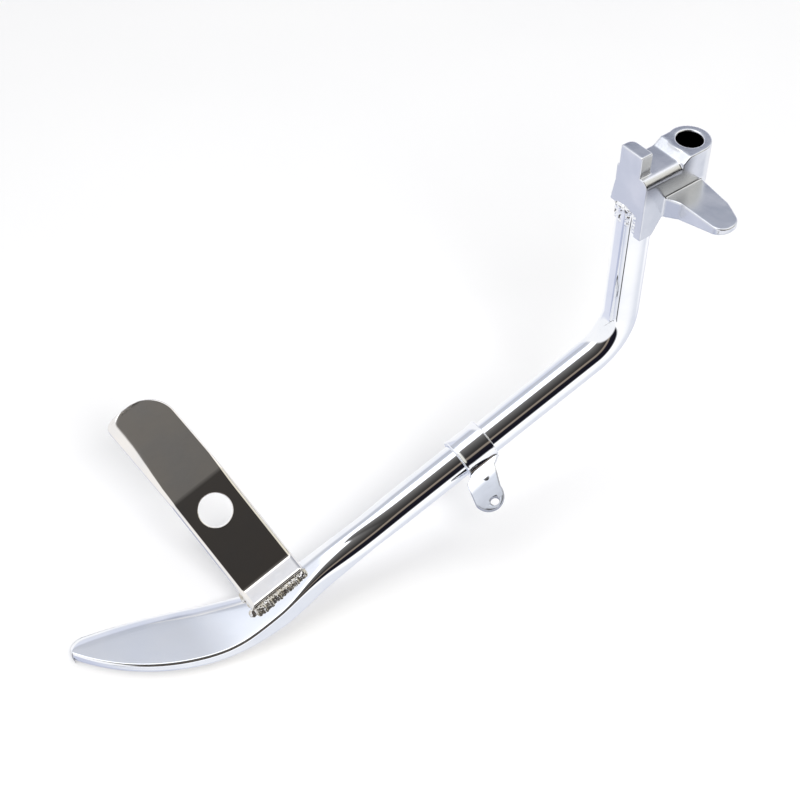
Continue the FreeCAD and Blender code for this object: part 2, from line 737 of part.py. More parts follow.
def bead(name, path, start, direction, radius, neighbours):
    """A weld bead: a round rope of metal along the joint, cut to meet the pieces it joins."""
    profile = Part.Wire([Part.makeCircle(radius, start, direction)])
    rope = path.makePipeShell([profile], True, False, 2)
    ends = [Part.makeSphere(radius, start), Part.makeSphere(radius, path.Vertexes[-1].Point)]
    rope = rope.fuse(ends)
    for neighbour in neighbours:
        rope = rope.cut(neighbour.Shape)
    largest = max(rope.Solids, key=lambda solid: solid.Volume)
    feature = document.addObject("Part::Feature", name)
    feature.Label = name
    feature.Shape = largest
    return feature


def make_collar_bead(head, leg):
    """Weld round the bar's upper end and down the groove beside the head's column."""
    corner = bend_corner()
    radius = size("bar_dia") / 2
    level = size("bore_length") / 2 - size("bar_top_drop")

    def round_bar(degrees):
        angle = math.radians(degrees)
        return Vector(corner.x + radius * math.cos(angle), corner.y + radius * math.sin(angle), level)

    start = round_bar(size("collar_bead_start"))
    middle = round_bar((size("collar_bead_start") + size("collar_bead_end")) / 2)
    groove_top = round_bar(size("collar_bead_end"))
    groove_end = groove_top - Vector(0, 0, size("column_drop") - size("bar_top_drop"))
    path = Part.Wire([Part.Arc(start, middle, groove_top).toShape(), Part.makeLine(groove_top, groove_end)])
    tangent = (start - Vector(corner.x, corner.y, level)).cross(Vector(0, 0, -1))
    return bead("collar_weld", path, start, tangent, size("collar_bead_radius"), [head, leg])


def make_cross_bead(name, across, lift, radius, neighbours):
    """A straight weld along the strip's width, placed in the lever's own frame."""
    place = lever_placement()
    half = size("lever_width") / 2 - radius
    first = place.multVec(Vector(across, half, lift))
    last = place.multVec(Vector(across, -half, lift))
    path = Part.Wire([Part.makeLine(first, last)])
    return bead(name, path, first, last - first, radius, neighbours)


def make_toe_bead(lever, leg):
    """Weld along the lever's toe, on top of the forged bar."""
    return make_cross_bead("toe_weld", size("lever_flange"), size("bead_lift"), size("toe_bead_radius"),
                           [lever, leg])


def make_heel_bead(lever, leg):
    """Weld in the wedge under the strip's lower fold, on the far side of the bar."""
    return make_cross_bead("heel_weld", 0, 0, size("heel_bead_radius"), [lever, leg])


def check_and_export(parts):
    """Stops on any failed object, then writes one file a part."""
    document.recompute()
    for item in document.Objects:
        if "Invalid" in item.State or "Error" in item.State:
            raise RuntimeError(f"{item.Label} failed: {item.State}")
    for part in parts:
        if part.Shape.isNull() or not part.Shape.isValid():
            raise RuntimeError(f"{part.Label} has a bad shape")
    for part in parts:
        part.Shape.exportStep(f"parts/{part.Label}.step")
        print(part.Label, len(part.Shape.Solids), round(part.Shape.Volume, 1), part.Shape.BoundBox)


head = make_head()
leg = make_leg()
lever = make_lever()
band = make_band()
rivet = make_rivet()
collar_weld = make_collar_bead(head, leg)
toe_weld = make_toe_bead(lever, leg)
heel_weld = make_heel_bead(lever, leg)
check_and_export([head, leg, lever, band, rivet, collar_weld, toe_weld, heel_weld])
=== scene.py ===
import bmesh
import bpy
import json
import math
from mathutils import Matrix, Vector, noise


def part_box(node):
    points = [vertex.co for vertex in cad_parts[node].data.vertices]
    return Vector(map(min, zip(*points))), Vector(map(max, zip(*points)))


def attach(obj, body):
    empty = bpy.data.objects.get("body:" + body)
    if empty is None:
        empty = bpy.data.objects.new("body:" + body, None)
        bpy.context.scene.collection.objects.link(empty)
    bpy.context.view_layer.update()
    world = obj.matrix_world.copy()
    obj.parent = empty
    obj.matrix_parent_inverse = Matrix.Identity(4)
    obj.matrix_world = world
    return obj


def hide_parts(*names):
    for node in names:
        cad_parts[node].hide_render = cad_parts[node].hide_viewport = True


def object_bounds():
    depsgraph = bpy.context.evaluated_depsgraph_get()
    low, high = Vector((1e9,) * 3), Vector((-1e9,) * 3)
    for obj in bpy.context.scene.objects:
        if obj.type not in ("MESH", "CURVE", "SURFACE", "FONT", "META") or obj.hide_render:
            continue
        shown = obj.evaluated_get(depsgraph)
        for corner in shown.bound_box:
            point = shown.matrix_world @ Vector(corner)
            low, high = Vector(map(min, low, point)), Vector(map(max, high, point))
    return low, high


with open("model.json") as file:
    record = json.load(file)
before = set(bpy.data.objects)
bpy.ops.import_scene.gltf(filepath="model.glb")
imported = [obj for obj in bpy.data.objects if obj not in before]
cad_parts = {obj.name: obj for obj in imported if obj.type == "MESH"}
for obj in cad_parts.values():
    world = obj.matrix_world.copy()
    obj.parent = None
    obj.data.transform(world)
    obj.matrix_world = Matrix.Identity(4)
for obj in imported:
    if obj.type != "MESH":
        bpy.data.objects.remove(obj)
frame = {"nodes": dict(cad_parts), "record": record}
cad_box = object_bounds()
pivot = Vector(next(m["pos_m"] for m in frame["record"]["mounts"] if m["name"] == "pivot_bore"))

# Camera. It looks down at the stand from the tongue's side, with a 75 mm lens on a 36 mm sensor,
# rolled by a degree.
LENS = 75.0
SENSOR = 36.0
HEADING = math.radians(51.31)
ELEVATION = math.radians(45.98)
ROLL = math.radians(0.91)
REACH = 0.7163
ASIDE = 0.0124
ABOVE = -0.0082
CLIP_NEAR = 0.05
CLIP_FAR = 20

toward = Vector((math.sin(HEADING) * math.cos(ELEVATION),
                 -math.cos(HEADING) * math.cos(ELEVATION),
                 math.sin(ELEVATION)))
level_right = Vector((math.cos(HEADING), math.sin(HEADING), 0))
level_up = toward.cross(level_right)
right = level_right * math.cos(ROLL) + level_up * math.sin(ROLL)
up = toward.cross(right)
middle = (cad_box[0] + cad_box[1]) / 2
camera = bpy.data.objects.new("camera", bpy.data.cameras.new("camera"))
camera.data.lens = LENS
camera.data.sensor_width = SENSOR
camera.data.clip_start = CLIP_NEAR
camera.data.clip_end = CLIP_FAR
camera_turn = Matrix((right, up, toward)).transposed().to_4x4()
camera.matrix_world = Matrix.Translation(middle + toward * REACH + right * ASIDE + up * ABOVE) @ camera_turn
bpy.context.scene.collection.objects.link(camera)
bpy.context.scene.camera = camera
bpy.context.scene.view_settings.view_transform = "Standard"


# Studio. A white sweep under the stand, and round it a tent of white cloth with a dark gap along the
# leg, on the camera's side. One thin lit seam runs in the gap, and the far cloth hangs in grey folds.
class Wire:
    """A value in a node tree. Arithmetic on wires adds Math nodes."""

    def __init__(self, tree, socket=None):
        self.tree = tree
        self.socket = socket

    def node(self, kind, settings=(), sockets=(), out=0):
        """Adds a node, sets it up, feeds its sockets by name or number, and returns one output."""
        made = self.tree.nodes.new(kind)
        for key, value in dict(settings).items():
            if key == "stops":
                ramp = made.color_ramp
                while len(ramp.elements) < len(value):
                    ramp.elements.new(1)
                for element, (place, colour) in zip(ramp.elements, value):
                    element.position = place
                    element.color = (*colour, 1)
            else:
                setattr(made, key, value)
        for key, value in dict(sockets).items():
            if isinstance(value, Wire):
                self.tree.links.new(value.socket, made.inputs[key])
            else:
                made.inputs[key].default_value = value
        return Wire(self.tree, made.outputs[out]) if len(made.outputs) else None

    def math(self, operation, *values):
        return self.node("ShaderNodeMath", {"operation": operation}, enumerate(values))

    def __add__(self, other):
        return self.math("ADD", self, other)

    def __sub__(self, other):
        return self.math("SUBTRACT", self, other)

    def __rsub__(self, other):
        return self.math("SUBTRACT", other, self)

    def __mul__(self, other):
        return self.math("MULTIPLY", self, other)

    def __truediv__(self, other):
        return self.math("DIVIDE", self, other)

    __radd__ = __add__
    __rmul__ = __mul__

    def dot(self, direction):
        return self.node("ShaderNodeVectorMath", {"operation": "DOT_PRODUCT"},
                         {0: self, 1: direction}, "Value")

    def step(self, low, high):
        """0 below low, 1 above high, smooth between."""
        return self.node("ShaderNodeMapRange", {"interpolation_type": "SMOOTHSTEP"},
                         {"Value": self, "From Min": low, "From Max": high})

    def ramp(self, stops):
        """The colour at this wire's value, between stops of place and colour."""
        return self.node("ShaderNodeValToRGB", {"stops": stops}, {0: self})

    def blend(self, first, last, kind="MIX"):
        """A colour mixed from first to last by this wire."""
        return self.node("ShaderNodeMix", {"data_type": "RGBA", "blend_type": kind},
                         {0: self, 6: first, 7: last}, 2)


BAR_SLOPE = math.radians(20.2)
BAR_HEADING = math.radians(-94)
along_bar = Vector((math.cos(BAR_HEADING) * math.cos(BAR_SLOPE),
                    math.sin(BAR_HEADING) * math.cos(BAR_SLOPE),
                    -math.sin(BAR_SLOPE)))
gap_middle = (toward - along_bar * toward.dot(along_bar)).normalized()
gap_side = gap_middle.cross(along_bar)

# What the tent shows at each angle round the leg, in degrees from the gap's middle, positive below it
TENT = [
    (-180, (0.66, 0.69, 0.79)),
    (-160, (0.74, 0.77, 0.86)),
    (-125, (0.80, 0.82, 0.90)),
    (-101, (0.78, 0.81, 0.91)),
    (-94, (0.58, 0.60, 0.67)),
    (-76, (0.60, 0.62, 0.68)),
    (-68, (0.85, 0.88, 0.96)),
    (-63, (1.90, 1.92, 1.95)),
    (-37, (1.90, 1.92, 1.95)),
    (-33, (0.24, 0.23, 0.22)),
    (-20, (0.145, 0.14, 0.135)),
    (5, (0.055, 0.052, 0.05)),
    (17, (0.040, 0.036, 0.034)),
    (21, (0.30, 0.25, 0.20)),
    (27, (0.30, 0.25, 0.20)),
    (32, (0.012, 0.011, 0.018)),
    (60, (0.008, 0.008, 0.014)),
    (67, (1.25, 1.25, 1.25)),
    (97, (1.08, 1.08, 1.10)),
    (114, (0.86, 0.88, 0.94)),
    (150, (0.78, 0.80, 0.88)),
    (180, (0.66, 0.69, 0.79)),
]
# The same beyond the head's end of the gap, where the cloth is warm above a narrower black gap
HEAD_TENT = [
    (-180, (1.00, 1.00, 1.02)),
    (-124, (0.98, 0.99, 1.04)),
    (-108, (0.62, 0.65, 0.76)),
    (-101, (0.16, 0.17, 0.24)),
    (-95, (0.16, 0.17, 0.24)),
    (-90, (0.57, 0.60, 0.67)),
    (-74, (0.58, 0.60, 0.66)),
    (-62, (1.30, 1.31, 1.34)),
    (-40, (1.30, 1.30, 1.28)),
    (-10, (0.95, 0.93, 0.84)),
    (34, (0.90, 0.87, 0.76)),
    (41, (0.015, 0.014, 0.018)),
    (74, (0.012, 0.012, 0.018)),
    (81, (1.20, 1.20, 1.22)),
    (180, (1.00, 1.00, 1.02)),
]
# What the cloth's colour is multiplied by beyond the foot's end, at the same angles
FOOT_SHADE = [
    (-180, (0.76, 0.78, 0.88)),
    (-152, (0.78, 0.80, 0.89)),
    (-138, (1.00, 1.00, 1.00)),
    (118, (1.00, 1.00, 1.00)),
    (134, (0.80, 0.82, 0.90)),
    (180, (0.76, 0.78, 0.88)),
]
# Angles along the leg, in degrees, positive towards the foot. The gap's foot end slants across the gap.
GAP_FOOT_END = 31
GAP_SLANT = 0.36
HEAD_TENT_START = -25
FOOT_SHADE_START = 22
TENT_FADE = 5
OVER_GAP = (1.05, 1.05, 1.06, 1)
# A black slit in the cloth beyond the foot's end: its angle along the leg, and its two ends round it
SLIT_ALONG = 56
SLIT_HALF = 2
SLIT_EDGE = 1
SLIT_START = 87
SLIT_END = 115
SLIT_START_FADE = 5
SLIT_END_FADE = 3
SLIT = (0.02, 0.02, 0.03, 1)
tent = bpy.data.worlds.new("tent")
bpy.context.scene.world = tent
tent.use_nodes = True
tent.node_tree.nodes.clear()
tent_wire = Wire(tent.node_tree)
ray = tent_wire.node("ShaderNodeTexCoord", out="Generated")
round_leg = tent_wire.math("ARCTAN2", ray.dot(gap_side), ray.dot(gap_middle)) * (180 / math.pi)
along_leg = tent_wire.math("ARCSINE", ray.dot(along_bar)) * (180 / math.pi)
round_share = round_leg / 360 + 0.5


def tent_stripes(table):
    """The colour a table of angles gives."""
    return round_share.ramp([(degrees / 360 + 0.5, colour) for degrees, colour in table])


def fade(wire, place, half):
    """0 to 1 over the stretch within half of the place."""
    return wire.step(place - half, place + half)


over_gap = fade(along_leg - round_leg * GAP_SLANT, GAP_FOOT_END, TENT_FADE)
tent_colour = over_gap.blend(tent_stripes(TENT), OVER_GAP)
past_head = 1 - along_leg.step(HEAD_TENT_START - TENT_FADE, HEAD_TENT_START)
tent_colour = past_head.blend(tent_colour, tent_stripes(HEAD_TENT))
past_foot = fade(along_leg, FOOT_SHADE_START, TENT_FADE)
tent_colour = past_foot.blend(tent_colour, tent_stripes(FOOT_SHADE), "MULTIPLY")
slit = fade(along_leg, SLIT_ALONG - SLIT_HALF, SLIT_EDGE)
slit = slit * (1 - fade(along_leg, SLIT_ALONG + SLIT_HALF, SLIT_EDGE))
slit = slit * fade(round_leg, SLIT_START, SLIT_START_FADE)
slit = slit * (1 - fade(round_leg, SLIT_END, SLIT_END_FADE))
tent_colour = slit.blend(tent_colour, SLIT)
tent_light = tent_wire.node("ShaderNodeBackground", sockets={"Color": tent_colour, "Strength": 1.0})
tent_wire.node("ShaderNodeOutputWorld", sockets={"Surface": tent_light})

LAMP_SIZE = 0.55
LAMP_AWAY = 1.3
LAMP_POWER = 9.0
LAMP_COLOUR = (1.0, 0.99, 0.97)
LAMP_ASIDE = 0.28
LAMP_ABOVE = 0.05
lamp = bpy.data.objects.new("softbox", bpy.data.lights.new("softbox", "AREA"))
lamp.data.size = LAMP_SIZE
lamp.data.energy = LAMP_POWER
lamp.data.color = LAMP_COLOUR
lamp_side = (toward + right * LAMP_ASIDE + up * LAMP_ABOVE).normalized()
lamp.location = middle + lamp_side * LAMP_AWAY
lamp.rotation_euler = lamp_side.to_track_quat("Z", "Y").to_euler()
lamp.visible_glossy = False
bpy.context.scene.collection.objects.link(lamp)

SWEEP_RADIUS = 4.0
SWEEP_SEGMENTS = 64
CARD_TINTS = [(0.3, (0.955, 0.955, 0.965)), (0.7, (0.975, 0.975, 0.98))]
CARD_GRAIN = 6.0
CARD_ROUGHNESS = 0.9
sweep_mesh = bmesh.new()
bmesh.ops.create_circle(sweep_mesh, cap_ends=True, segments=SWEEP_SEGMENTS, radius=SWEEP_RADIUS,
                        matrix=Matrix.Translation((middle.x, middle.y, cad_box[0].z)))
sweep = bpy.data.objects.new("sweep", bpy.data.meshes.new("sweep"))
sweep_mesh.to_mesh(sweep.data)
sweep_mesh.free()
bpy.context.scene.collection.objects.link(sweep)
sweep_card = bpy.data.materials.new("white_card")
sweep_card.use_nodes = True
sweep_card.node_tree.nodes.clear()
card = Wire(sweep_card.node_tree)
card_place = card.node("ShaderNodeTexCoord", out="Object")
card_grain = card.node("ShaderNodeTexNoise",
                       sockets={"Vector": card_place, "Scale": CARD_GRAIN, "Detail": 3.0})
card_surface = {"Base Color": card_grain.ramp(CARD_TINTS), "Roughness": CARD_ROUGHNESS}
card_shader = card.node("ShaderNodeBsdfPrincipled", sockets=card_surface)
card.node("ShaderNodeOutputMaterial", sockets={"Surface": card_shader})
sweep.data.materials.append(sweep_card)
sweep.visible_glossy = False


# Leg bar: 16 mm round steel bar, bent once and forged flat at the end into the curved foot.
# It is linished, polished and chrome plated. Only the foot is a little hazy.
BAR_RADIUS = 0.008
BAR_ASIDE = -0.0026
BAR_INSET = 0.0001
BAR_UPRIGHT = 0.0789
BEND_RADIUS = 0.024
FORGE_START = 0.158
MERGE = 0.000001
FOOT_ARC_RADIUS = 0.150
FOOT_LEVEL = 0.0726
FOOT_SHOULDER = 0.200
FOOT_LENGTH = 0.0709
FOOT_NEAR = 0.0106
FOOT_NEAR_ARC = 0.086
FOOT_FAR = 0.0092
FOOT_SPREAD_END = 0.188
FOOT_FAR_SWEEP = 0.52
FOOT_FAR_ARC = 0.210
FOOT_TIP_ROUND = 0.008
FOOT_THICKNESS = 0.0070
FOOT_TIP_THICKNESS = 0.0056
FOOT_NEAR_ROUND = 0.0013
FOOT_UNDER_ROUND = 0.0026
FOOT_CROWN = 0.0085
FOOT_CROWN_DROP = 0.0042
FLAT_START = 0.1686
FLAT_END = 0.216
# The round bar turns into a rounded oblong, and its near top corner sharpens before the others do
SQUARE_START = 0.118
SQUARE_END = 0.162
NEAR_FLAT_START = 0.138
NEAR_FLAT_END = 0.184
ROUND_SHARE = 0.94
FOOT_HAZE_END = -0.205
FOOT_HAZE_START = -0.235
FOOT_HAZE = 0.07
CORNER_POINTS = 17
FLAT_POINTS = 7
RING_POINTS = 4 * (CORNER_POINTS + FLAT_POINTS)

head_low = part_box("pivot_head")[0]
bar_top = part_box("leg_bar")[1].z
bend = Vector((pivot.x + BAR_ASIDE, head_low.y + BAR_RADIUS - BAR_INSET, bar_top - BAR_UPRIGHT))
leg_place = Matrix.Translation(bend) @ Matrix.Rotation(BAR_HEADING, 4, "Z")
foot_tip = FOOT_SHOULDER + FOOT_LENGTH


def ease(x, start, end):
    """Smooth step from 0 to 1."""
    share = min(1.0, max(0.0, (x - start) / (end - start)))
    return share * share * (3 - 2 * share)


def mix(first, last, share):
    return first + (last - first) * share


def foot_centre(x):
    """Height and downward slope of the leg's middle line at a distance ahead of the bend."""
    arc_end = FOOT_LEVEL / math.tan(BAR_SLOPE) + FOOT_ARC_RADIUS * math.tan(BAR_SLOPE / 2)
    if x <= arc_end - FOOT_ARC_RADIUS * math.sin(BAR_SLOPE):
        return -x * math.tan(BAR_SLOPE), BAR_SLOPE
    back = max(0.0, arc_end - x)
    drop = FOOT_ARC_RADIUS - math.sqrt(FOOT_ARC_RADIUS ** 2 - back ** 2)
    return drop - FOOT_LEVEL, math.asin(back / FOOT_ARC_RADIUS)


def foot_edges(x):
    """Near and far edge of the forged part at a distance ahead of the bend."""
    spread = ease(x, FORGE_START, FOOT_SPREAD_END)
    past = max(0.0, x - FOOT_SHOULDER)
    near = mix(BAR_RADIUS, FOOT_NEAR, spread)
    near += math.sqrt(FOOT_NEAR_ARC ** 2 - past ** 2) - FOOT_NEAR_ARC
    past = max(0.0, x - FOOT_SPREAD_END)
    far = mix(BAR_RADIUS, FOOT_FAR, spread)
    far += past * FOOT_FAR_SWEEP - past ** 2 / (2 * FOOT_FAR_ARC)
    into_tip = max(0.0, x - foot_tip + FOOT_TIP_ROUND)
    far -= FOOT_TIP_ROUND - math.sqrt(FOOT_TIP_ROUND ** 2 - into_tip ** 2)
    return near, -far


def foot_height(x):
    """Thickness of the leg at a distance ahead of the bend."""
    blade = mix(FOOT_THICKNESS, FOOT_TIP_THICKNESS, ease(x, FOOT_SHOULDER, foot_tip))
    return mix(2 * BAR_RADIUS, blade, ease(x, FLAT_START, FLAT_END))


def rounded(near, far, height, rounds):
    """Points of a rounded oblong in Y and Z. Each round is a corner's width and height, near top first."""
    corners = []
    for (wide, high), (side, rise) in zip(rounds, ((1, 1), (-1, 1), (-1, -1), (1, -1))):
        edge = near if side > 0 else far
        corner = []
        for step in range(CORNER_POINTS):
            turn = math.pi / 2 * step / (CORNER_POINTS - 1)
            corner.append(Vector((0, edge - side * wide * (1 - math.cos(turn)),
                                  rise * (height / 2 - high * (1 - math.sin(turn))))))
        corners.append(corner if side == rise else corner[::-1])
    points = []
    for corner, following in zip(corners, corners[1:] + corners[:1]):
        points += corner
        points += [corner[-1].lerp(following[0], (step + 1) / (FLAT_POINTS + 1))
                   for step in range(FLAT_POINTS)]
    return points


def round_points():
    """The same number of points, evenly round a circle of radius 1, from the same start."""
    turns = [2 * math.pi * (index - FLAT_POINTS // 2) / RING_POINTS for index in range(RING_POINTS)]
    return [Vector((0, math.cos(turn), math.sin(turn))) for turn in turns]


def forged_ring(x):
    """Cross-section of the leg, round or forged, at a distance ahead of the bend."""
    near, far = foot_edges(x)
    half = (near - far) / 2
    height = foot_height(x)
    crown = min(FOOT_CROWN, half)
    full = (half * ROUND_SHARE, height / 2 * ROUND_SHARE)
    near_flat = ease(x, NEAR_FLAT_START, NEAR_FLAT_END)
    flat = ease(x, FLAT_START, FLAT_END)
    rounds = [(mix(full[0], wide, share), mix(full[1], high, share)) for wide, high, share in (
        (FOOT_NEAR_ROUND, FOOT_NEAR_ROUND, near_flat),
        (crown, FOOT_CROWN_DROP, flat),
        (FOOT_UNDER_ROUND, FOOT_UNDER_ROUND, flat),
        (FOOT_UNDER_ROUND, FOOT_UNDER_ROUND, flat))]
    oblong = rounded(half, -half, height, rounds)
    square = ease(x, SQUARE_START, SQUARE_END)
    level, slope = foot_centre(x)
    place = leg_place @ Matrix.Translation((x, 0, level)) @ Matrix.Rotation(slope, 4, "Y")
    middle_y = (near + far) / 2
    ring = [place @ Vector((0, middle_y + mix(circle.y * half, flat_point.y, square),
                            mix(circle.z * height / 2, flat_point.z, square)))
            for circle, flat_point in zip(round_points(), oblong)]
    for point in ring:
        point.z = max(point.z, cad_box[0].z)
    return ring


def bar_ring(centre, tilt, radius=BAR_RADIUS):
    """Cross-section of the round bar, turned from upright by the tilt."""
    place = leg_place @ Matrix.Translation(centre) @ Matrix.Rotation(tilt, 4, "Y")
    return [place @ (point * radius) for point in round_points()]


def loft(rings):
    """A closed skin: one circle, extruded from ring to ring, with a face over each end."""
    skin = bmesh.new()
    row = bmesh.ops.create_circle(skin, segments=len(rings[0]), radius=1)["verts"]
    edges = list(skin.edges)
    bmesh.ops.contextual_create(skin, geom=edges)
    for vert, point in zip(row, rings[0]):
        vert.co = point
    for ring in rings[1:]:
        place_of = {vert: index for index, vert in enumerate(row)}
        grown = bmesh.ops.extrude_edge_only(skin, edges=edges)["geom"]
        fresh = {item for item in grown if isinstance(item, bmesh.types.BMVert)}
        edges = [item for item in grown
                 if isinstance(item, bmesh.types.BMEdge) and fresh.issuperset(item.verts)]
        row = [None] * len(ring)
        for vert in fresh:
            linked = [edge.other_vert(vert) for edge in vert.link_edges]
            source = next(other for other in linked if other in place_of)
            row[place_of[source]] = vert
        for vert, point in zip(row, ring):
            vert.co = point
    bmesh.ops.contextual_create(skin, geom=edges)
    bmesh.ops.remove_doubles(skin, verts=skin.verts, dist=MERGE)
    bmesh.ops.recalc_face_normals(skin, faces=skin.faces)
    return skin


def piece_from(name, skin, node, material):
    """A smooth-shaded piece of the stand that stands for a node of the frame."""
    for face in skin.faces:
        face.smooth = True
    piece = bpy.data.objects.new(name, bpy.data.meshes.new(name))
    skin.to_mesh(piece.data)
    skin.free()
    bpy.context.scene.collection.objects.link(piece)
    piece.data.materials.append(material)
    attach(piece, "root")
    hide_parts(node)
    return piece


def even_shading(piece):
    """Normals that follow the large faces, so that flats reflect as flats."""
    modifier = piece.modifiers.new("even_shading", "WEIGHTED_NORMAL")
    modifier.keep_sharp = False
    modifier.weight = 80


def chrome(name, tints, haze, bump, bump_scale, haze_scale=60.0):
    """Chrome plate: two tints and two roughnesses that clouds mix, and a faint unevenness of the metal.

    Returns the wire, the place on the piece, the shader's sockets and the material, for finish_material."""
    material = bpy.data.materials.new(name)
    material.use_nodes = True
    material.node_tree.nodes.clear()
    wire = Wire(material.node_tree)
    place = wire.node("ShaderNodeTexCoord", out="Object")
    clouds = wire.node("ShaderNodeTexNoise", sockets={"Vector": place, "Scale": haze_scale, "Detail": 4.0})
    share = clouds.step(0.35, 0.7)
    uneven = wire.node("ShaderNodeTexNoise", sockets={"Vector": place, "Scale": bump_scale, "Detail": 2.0})
    relief = wire.node("ShaderNodeBump", sockets={"Height": uneven, "Strength": bump, "Distance": 0.001})
    surface = {
        "Base Color": share.blend((*tints[0], 1), (*tints[1], 1)),
        "Metallic": 1.0,
        "Roughness": share * (haze[1] - haze[0]) + haze[0],
        "Normal": relief,
    }
    return wire, place, surface, material


def finish_material(wire, surface):
    shader = wire.node("ShaderNodeBsdfPrincipled", sockets=surface)
    wire.node("ShaderNodeOutputMaterial", sockets={"Surface": shader})


setback = BEND_RADIUS * math.tan((math.pi / 2 - BAR_SLOPE) / 2)
bend_turn = math.pi / 2 - BAR_SLOPE
UPRIGHT_STEPS = 8
BEND_STEPS = 28
BAR_STEPS = 12
FORGE_STEPS = 40
FOOT_STEPS = 40
TOP_CHAMFER = 0.0006
SLIVER = 0.00001
rings = [bar_ring(Vector((0, 0, BAR_UPRIGHT)), math.pi / 2, BAR_RADIUS - TOP_CHAMFER)]
rings += [bar_ring(Vector((0, 0, mix(BAR_UPRIGHT - TOP_CHAMFER, setback, step / UPRIGHT_STEPS))), math.pi / 2)
          for step in range(UPRIGHT_STEPS)]
for step in range(BEND_STEPS + 1):
    turned = bend_turn * step / BEND_STEPS
    rings.append(bar_ring(Vector((BEND_RADIUS * (1 - math.cos(turned)), 0,
                                  setback - BEND_RADIUS * math.sin(turned))), math.pi / 2 - turned))
bend_end = setback * math.cos(BAR_SLOPE)
rings += [forged_ring(mix(bend_end, SQUARE_START, step / BAR_STEPS)) for step in range(1, BAR_STEPS)]
rings += [forged_ring(mix(SQUARE_START, FOOT_SHOULDER, step / FORGE_STEPS)) for step in range(FORGE_STEPS)]
for step in range(FOOT_STEPS + 1):
    share = math.sin(math.pi / 2 * step / FOOT_STEPS)
    rings.append(forged_ring(mix(FOOT_SHOULDER, foot_tip - SLIVER, share)))

leg_wire, leg_at, leg_surface, leg_chrome = chrome(
    "leg_chrome", ((0.90, 0.91, 0.93), (0.84, 0.86, 0.90)), (0.03, 0.07), bump=0.02, bump_scale=90)
leg_y = leg_wire.node("ShaderNodeSeparateXYZ", sockets={0: leg_at}, out="Y")
on_foot = 1 - leg_y.step(FOOT_HAZE_START, FOOT_HAZE_END)
leg_surface["Roughness"] = leg_surface["Roughness"] + on_foot * FOOT_HAZE
finish_material(leg_wire, leg_surface)
leg = piece_from("leg", loft(rings), "leg_bar", leg_chrome)
even_shading(leg)


# Pivot head: a steel casting with the pivot bore, the stop post, the shelf and the tongue that rides on
# the machine's bracket. It is linished by hand before plating, so its faces are satin and its edges soft.
HEAD_VOXEL = 0.00032
HEAD_SMOOTHING = 9
# Painted shade in the pivot bore: its radius, and the near-black painted into the hole
BORE_SHADE_RADIUS = 0.00592
BORE_PAINTED_SHADE = (0.012, 0.012, 0.015, 1)
# Colour of the painted shade on the near face under the shelf's lip
UNDER_LIP_PAINTED_SHADE = (0.25, 0.26, 0.30, 1)


def settle(piece):
    """Makes the piece's modifiers its mesh."""
    bpy.context.view_layer.update()
    graph = bpy.context.evaluated_depsgraph_get()
    settled = bpy.data.meshes.new_from_object(piece.evaluated_get(graph), depsgraph=graph)
    piece.modifiers.clear()
    piece.data = settled
    for face in settled.polygons:
        face.use_smooth = True


def soften(piece, voxel, smoothing):
    """Melts the piece's solids into one skin, and rounds its edges and inside corners."""
    melt = piece.modifiers.new("melt", "REMESH")
    melt.mode = "VOXEL"
    melt.voxel_size = voxel
    smooth = piece.modifiers.new("smooth", "SMOOTH")
    smooth.factor = 0.5
    smooth.iterations = smoothing
    settle(piece)


head_wire, head_at, head_surface, head_chrome = chrome(
    "head_chrome", ((0.68, 0.70, 0.75), (0.78, 0.79, 0.83)), (0.18, 0.27), bump=0.05, bump_scale=260)
head_x, head_y, head_z = [
    head_wire.node("ShaderNodeSeparateXYZ", sockets={0: head_at}, out=axis) for axis in "XYZ"]
# Painted shade: the near face is darkened just under the shelf's lip, in place of the dark reflection and
# shade that lie there
on_near_face = head_x.step(0.0088, 0.0093) * (1 - head_x.step(0.0097, 0.0101))
painted_shade_under_lip = on_near_face * head_z.step(-0.004, 0.010) * (1 - head_y.step(-0.012, -0.004))
head_colour = painted_shade_under_lip.blend(head_surface["Base Color"], UNDER_LIP_PAINTED_SHADE)
# Painted shade: the inside of the pivot bore is painted near-black, as if it lay in shade
from_axis = head_wire.math("SQRT", head_x * head_x + head_y * head_y)
painted_bore_shade = 1 - fade(from_axis, BORE_SHADE_RADIUS, 0.0001)
head_surface["Base Color"] = painted_bore_shade.blend(head_colour, BORE_PAINTED_SHADE)
finish_material(head_wire, head_surface)
casting = bmesh.new()
casting.from_mesh(frame["nodes"]["pivot_head"].data)
bmesh.ops.remove_doubles(casting, verts=casting.verts, dist=MERGE)
head = piece_from("head", casting, "pivot_head", head_chrome)
soften(head, HEAD_VOXEL, HEAD_SMOOTHING)


# Collar weld: a messy bead round the bar's upper end, run down the groove beside the head's column.
# It is plated with the rest and shines, with dark spots. The foot's welds are dull and brown.
WELD_VOXEL = 0.00028
WELD_SMOOTHING = 2
RIPPLE_LIFT = 0.0003
RIPPLE_SCALE = 1400
WELD_SEED = 5
noise.seed_set(WELD_SEED)


def lump(skin, centre, sizes, turn=None):
    """A drop of weld metal."""
    turn = turn or Matrix.Identity(3)
    place = Matrix.Translation(centre) @ turn.to_4x4() @ Matrix.Diagonal((*sizes, 1))
    bmesh.ops.create_icosphere(skin, subdivisions=3, radius=1, matrix=place)


def run_bead(skin, start, end, radius, pitch):
    """A bead of overlapping drops from start to end, each a little different from the last."""
    count = max(2, round((end - start).length / pitch))
    ahead = (end - start).to_track_quat("X", "Z").to_matrix()
    for index in range(count + 1):
        centre = start.lerp(end, index / count)
        wobble = noise.noise_vector(centre * 900)
        grown = radius * (1 + 0.16 * wobble.x)
        lump(skin, centre + wobble * radius * 0.12, (pitch * 0.95, grown, grown), ahead)


